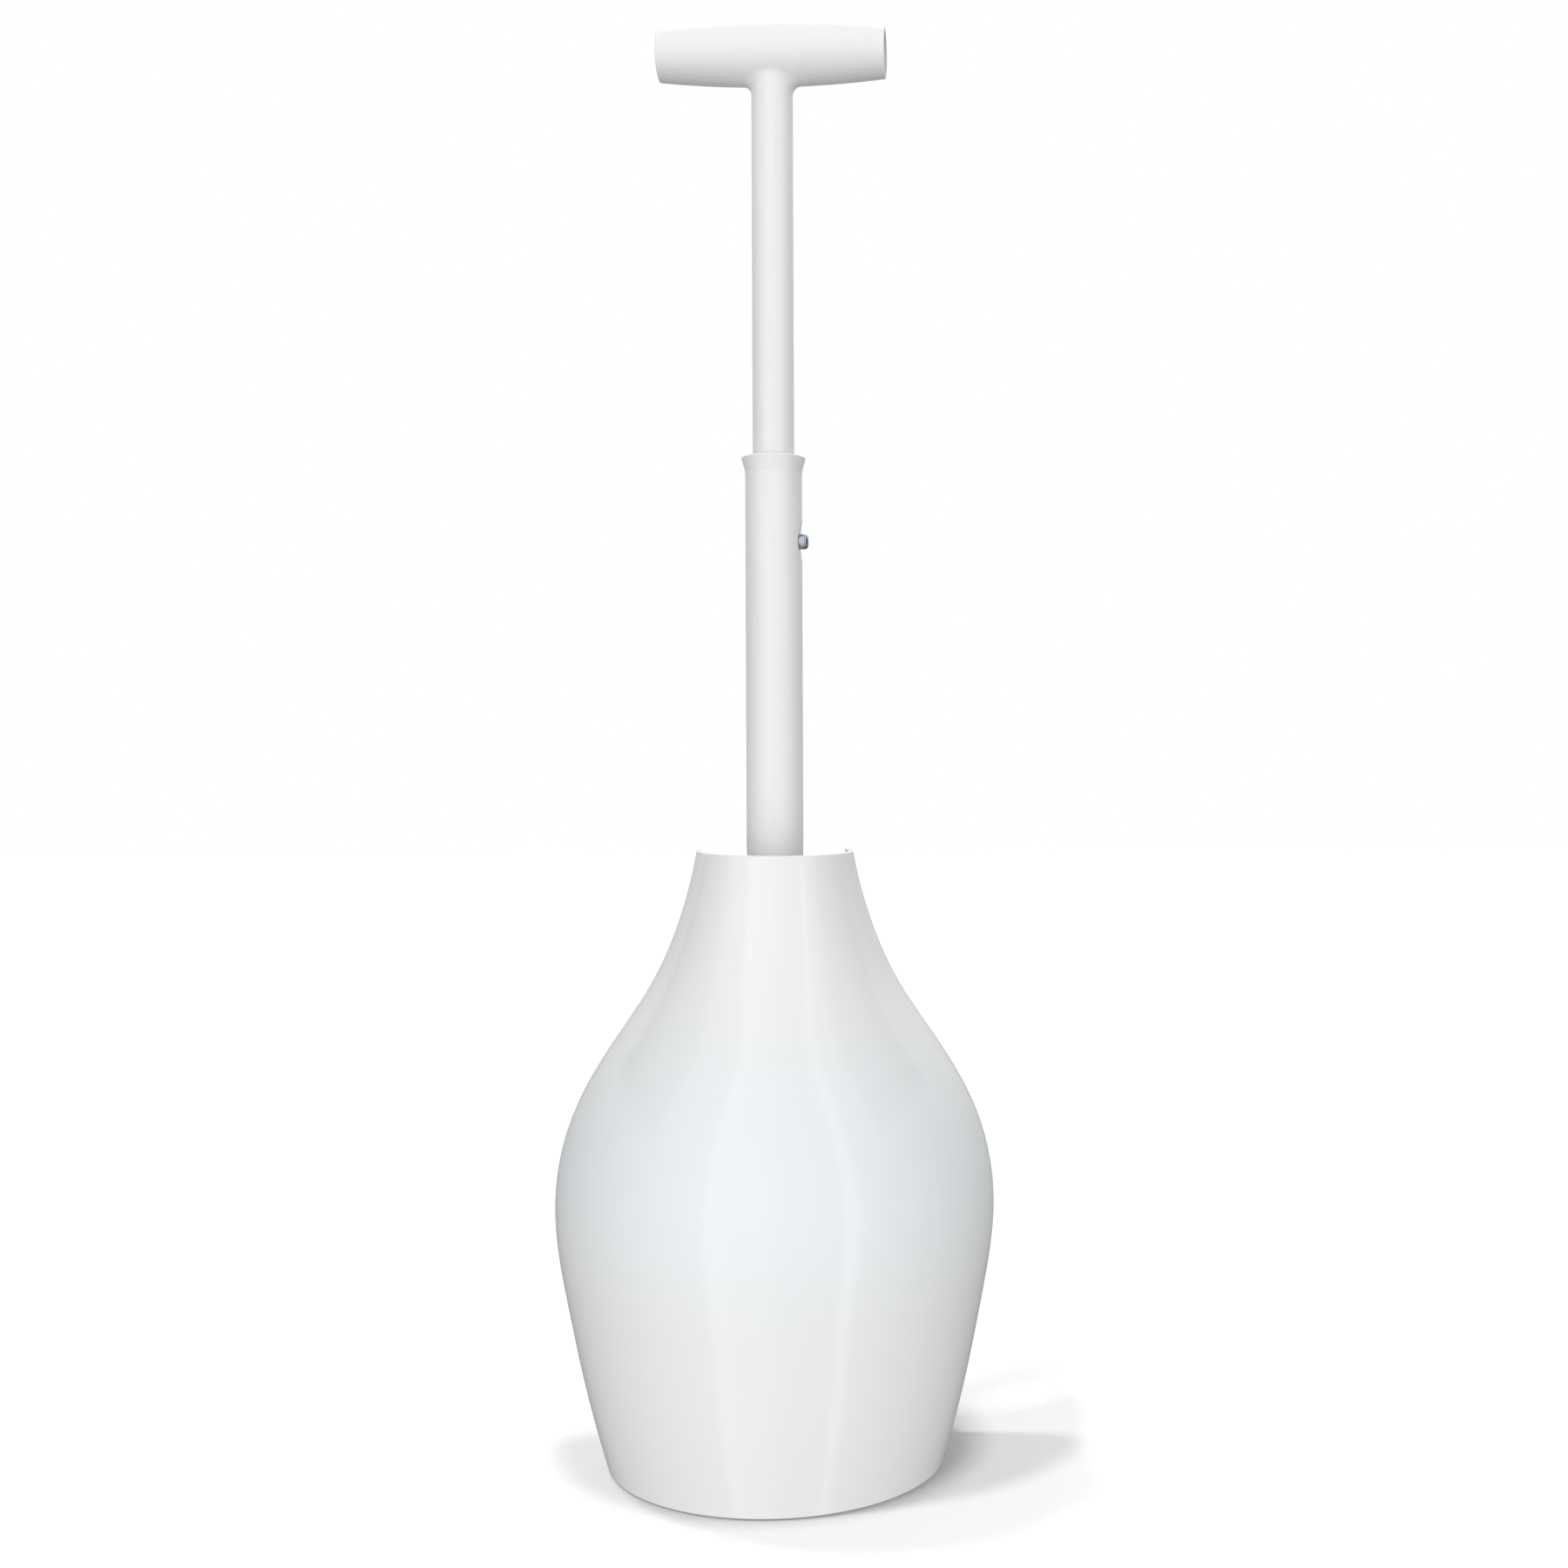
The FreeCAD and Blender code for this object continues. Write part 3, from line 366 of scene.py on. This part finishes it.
def cup_section():
    """The cup's section in millimetres, (radius, height), once round and closed.

    The moulding has a beaded neck, two ribs round the bell, a hairline of flash where the
    halves of the mould met, a rolled lip, and a beaded edge on the flange.
    """
    # outside of the neck: a bead at the mouth and two slimmer ones under it
    outline = arc((14.2, 118.0), 1.75, 90.0, 0.0, 8)
    height = 117.6
    while height > 98.2:
        ribs = min(stand_up(height, NECK_RIBS), RIB_HEIGHT)
        outline.append((NECK_RADIUS - RIB_HEIGHT + ribs, height))
        height -= 0.25
    # the hollow at the neck's foot, and the bell
    outline += arc((23.0, 98.03), 7.0 + RIB_HEIGHT, 180.0, 180.0 + BELL_SWEEP, 14)
    for step in range(1, BELL_STEPS + 1):
        angle = BELL_SWEEP * (1.0 - step / BELL_STEPS)
        radius = BELL_RADIUS - RIB_HEIGHT + stand_up(angle, BELL_RIBS)
        outline.append((BELL_CENTRE[0] + radius * math.cos(math.radians(angle)),
                        BELL_CENTRE[1] + radius * math.sin(math.radians(angle))))
    # the rolled lip, then the flange that turns down inside it to its beaded edge
    outline += arc(LIP_CENTRE, 6.6 - RIB_HEIGHT, -4.0, -90.0, 20)
    outline += arc(FLANGE_CENTRE, 22.35 + RIB_HEIGHT, 90.0, 168.0, 40)
    outline += arc((37.60, 9.25), 2.15, -20.0, -170.0, 16)
    outline += arc(FLANGE_CENTRE, 25.25, 168.0, 90.0, 44)
    # inside: up under the lip, the smooth bell, and the flat crown round the screw
    outline += arc(LIP_CENTRE, 3.7, -88.0, -2.0, 10)
    outline += arc(BELL_CENTRE, BELL_INSIDE, 1.0, 81.5, 70)
    outline += arc((19.8, 90.6), 2.0, -115.0, -90.0, 4)
    outline += [(15.4, 88.6), (15.2, 88.05), (14.8, 88.0), (9.0, 88.0), (4.0, 88.0)]
    outline += arc((4.0, 88.6), 0.6, -120.0, -180.0, 4)
    # the socket that the threaded stud fills
    outline += [(3.4, 90.4), (3.9, 90.95), (8.0, 91.0), (8.5, 91.5), (8.55, 117.2)]
    outline += [(8.9, 117.8), (9.6, 117.8), (10.05, 118.2), (10.05, 119.0)]
    outline += arc((10.7, 119.05), 0.68, 180.0, 90.0, 6)
    return outline


def turned_mesh(name, section, turns):
    """Turn a closed section about the vertical axis into one closed, smooth-shaded mesh."""
    vertices = []
    faces = []
    count = len(section)
    for turn in range(turns):
        angle = 2.0 * math.pi * turn / turns
        for radius, height in section:
            vertices.append((radius * MM * math.cos(angle), radius * MM * math.sin(angle),
                             height * MM))
        after = (turn + 1) % turns
        for index in range(count):
            following = (index + 1) % count
            faces.append((turn * count + index, turn * count + following,
                          after * count + following, after * count + index))
    mesh = bpy.data.meshes.new(name)
    mesh.from_pydata(vertices, [], faces)
    mesh.validate()
    mesh.polygons.foreach_set("use_smooth", [True] * len(mesh.polygons))
    return mesh


def force_cup():
    """The soft cup with its moulded detail, in place of the plain one."""
    mesh = turned_mesh("force_cup", cup_section(), CUP_TURNS)
    mesh.materials.append(rubber("moulded_cup_rubber", (0.030, 0.031, 0.034),
                                 (0.058, 0.058, 0.062), 0.54))
    cup = bpy.data.objects.new("force_cup", mesh)
    bpy.context.scene.collection.objects.link(cup)
    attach(cup, "plunger")
    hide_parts("rubber_cup")


# ---------------------------------------------------------------- stage, light and camera

def floor():
    """A plain white floor.  The object isn't lit by it: the sky below stands in for that."""
    half = 6.0
    mesh = bpy.data.meshes.new("floor")
    mesh.from_pydata([(-half, -half, 0), (half, -half, 0), (half, half, 0), (-half, half, 0)],
                     [], [(0, 1, 2, 3)])
    plane = bpy.data.objects.new("floor", mesh)
    bpy.context.scene.collection.objects.link(plane)
    plane.visible_diffuse = False
    plane.visible_glossy = False
    plane.visible_shadow = False
    material, graph, shader = new_material("floor_white")
    tone = graph.noise(1.5, 2.0)
    paler = 1.02 * FLOOR_WHITE
    graph.set(shader, "Base Color", graph.colours(
        tone, (0.3, (FLOOR_WHITE, FLOOR_WHITE, FLOOR_WHITE)), (0.7, (paler, paler, paler))))
    shader.inputs["Roughness"].default_value = 0.9
    shader.inputs["Specular IOR Level"].default_value = 0.0
    shader.inputs["Emission Color"].default_value = (1.0, 1.0, 1.0, 1.0)
    shader.inputs["Emission Strength"].default_value = FLOOR_GLOW
    mesh.materials.append(material)
    plane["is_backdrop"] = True
    return plane


def sky():
    """Soft surroundings: broad lobes of light on every side, strongest in front and high
    behind, and tall softboxes in front.

    What lights the object is the studio; what the camera sees behind it is plain white.
    """
    world = bpy.data.worlds.new("studio")
    world.use_nodes = True
    bpy.context.scene.world = world
    graph = Graph(world.node_tree)
    direction = graph.add("ShaderNodeTexCoord").outputs["Generated"]
    split = graph.add("ShaderNodeSeparateXYZ")
    graph.tree.links.new(direction, split.inputs[0])
    strength = SKY_ALL_ROUND
    for name, way, gain, gathered in SKY_LOBES:
        along = graph.add("ShaderNodeVectorMath", operation="DOT_PRODUCT", label=name)
        graph.tree.links.new(direction, along.inputs[0])
        along.inputs[1].default_value = Vector(way).normalized()
        towards = graph.math("MAXIMUM", along.outputs["Value"], 0.0)
        towards = graph.math("POWER", towards, gathered)
        strength = graph.math("MULTIPLY_ADD", towards, gain, strength)
    # softboxes reach from floor to ceiling; their azimuth is 0 in front and 90 on the right
    minus_y = graph.math("MULTIPLY", split.outputs["Y"], -1.0)
    azimuth = graph.math("ARCTAN2", split.outputs["X"], minus_y)
    edge = math.radians(SOFTBOX_EDGE)
    for start, stop, gain in SOFTBOXES:
        rise = graph.between(azimuth, math.radians(start) - edge, math.radians(start) + edge)
        fall = graph.between(azimuth, math.radians(stop) - edge, math.radians(stop) + edge,
                             1.0, 0.0)
        strength = graph.math("MULTIPLY_ADD", graph.math("MULTIPLY", rise, fall), gain,
                              strength)
    studio = graph.add("ShaderNodeBackground", Color=(0.990, 0.994, 1.0, 1.0))
    graph.set(studio, "Strength", strength)
    plain = graph.add("ShaderNodeBackground", Color=(1.0, 1.0, 1.0, 1.0), Strength=1.0)
    mix = graph.add("ShaderNodeMixShader")
    path = graph.add("ShaderNodeLightPath")
    graph.tree.links.new(path.outputs["Is Camera Ray"], mix.inputs[0])
    graph.tree.links.new(studio.outputs[0], mix.inputs[1])
    graph.tree.links.new(plain.outputs[0], mix.inputs[2])
    output = graph.add("ShaderNodeOutputWorld")
    graph.tree.links.new(mix.outputs[0], output.inputs["Surface"])


def flag(name, x, y, wide, low, high):
    """A black panel beside the handle, out of the camera's sight, that darkens its sides."""
    mesh = bpy.data.meshes.new(name)
    half = 0.5 * wide
    mesh.from_pydata([(x, y - half, low), (x, y + half, low), (x, y + half, high),
                      (x, y - half, high)], [], [(0, 1, 2, 3)])
    panel = bpy.data.objects.new(name, mesh)
    bpy.context.scene.collection.objects.link(panel)
    panel.visible_camera = False
    material, graph, shader = new_material(name)
    cloth = graph.noise(40.0, 2.0)
    graph.set(shader, "Base Color", graph.colours(
        cloth, (0.3, (0.010, 0.010, 0.010)), (0.7, (0.016, 0.016, 0.016))))
    shader.inputs["Roughness"].default_value = 0.95
    mesh.materials.append(material)
    panel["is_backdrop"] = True


def floor_lamp(ground, name, azimuth, elevation, brightness, width):
    """A distant soft lamp that lights the floor alone, and casts the object's shadow on it.

    Azimuth 0 is in front and 90 on the right; brightness is what it adds to the floor, and
    width is the angle the lamp seems to fill.
    """
    turn, lift = math.radians(azimuth), math.radians(elevation)
    way = Vector((math.sin(turn) * math.cos(lift), -math.cos(turn) * math.cos(lift),
                  math.sin(lift)))
    light = bpy.data.lights.new(name, "SUN")
    light.energy = brightness * math.pi / (math.sin(lift) * FLOOR_WHITE)
    light.angle = math.radians(width)
    lamp = bpy.data.objects.new(name, light)
    lamp.rotation_euler = way.to_track_quat("Z", "Y").to_euler()
    bpy.context.scene.collection.objects.link(lamp)
    lit = bpy.data.collections.new(f"{name}_lights")
    lit.objects.link(ground)
    lamp.light_linking.receiver_collection = lit
    shading = bpy.data.collections.new(f"{name}_shadows")
    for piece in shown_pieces():
        shading.objects.link(piece)
    lamp.light_linking.blocker_collection = shading


def camera():
    """Seen from a little to the right of square on, just under half the object's height."""
    azimuth = math.radians(7.0)
    distance = 0.768
    height = 0.282
    yaw = math.radians(2.36)
    pitch = math.radians(-0.36)
    roll = math.radians(-0.20)
    data = bpy.data.cameras.new("camera")
    data.sensor_width = 36.0
    data.lens = 42.52
    data.shift_x = -0.09
    data.clip_start = 0.02
    data.clip_end = 50.0
    view = bpy.data.objects.new("camera", data)
    view.location = (distance * math.sin(azimuth), -distance * math.cos(azimuth), height)
    turn = (Matrix.Rotation(yaw, 4, "Z") @ Matrix.Rotation(math.pi / 2 + pitch, 4, "X")
            @ Matrix.Rotation(roll, 4, "Z"))
    view.rotation_euler = turn.to_euler()
    bpy.context.scene.collection.objects.link(view)
    bpy.context.scene.camera = view


bpy.context.scene.view_settings.view_transform = "Standard"
camera()
studio_floor = floor()
sky()
for panel in FLAGS:
    flag(*panel)
dress_nodes()
force_cup()
for lamp_values in FLOOR_LAMPS:
    floor_lamp(studio_floor, *lamp_values)
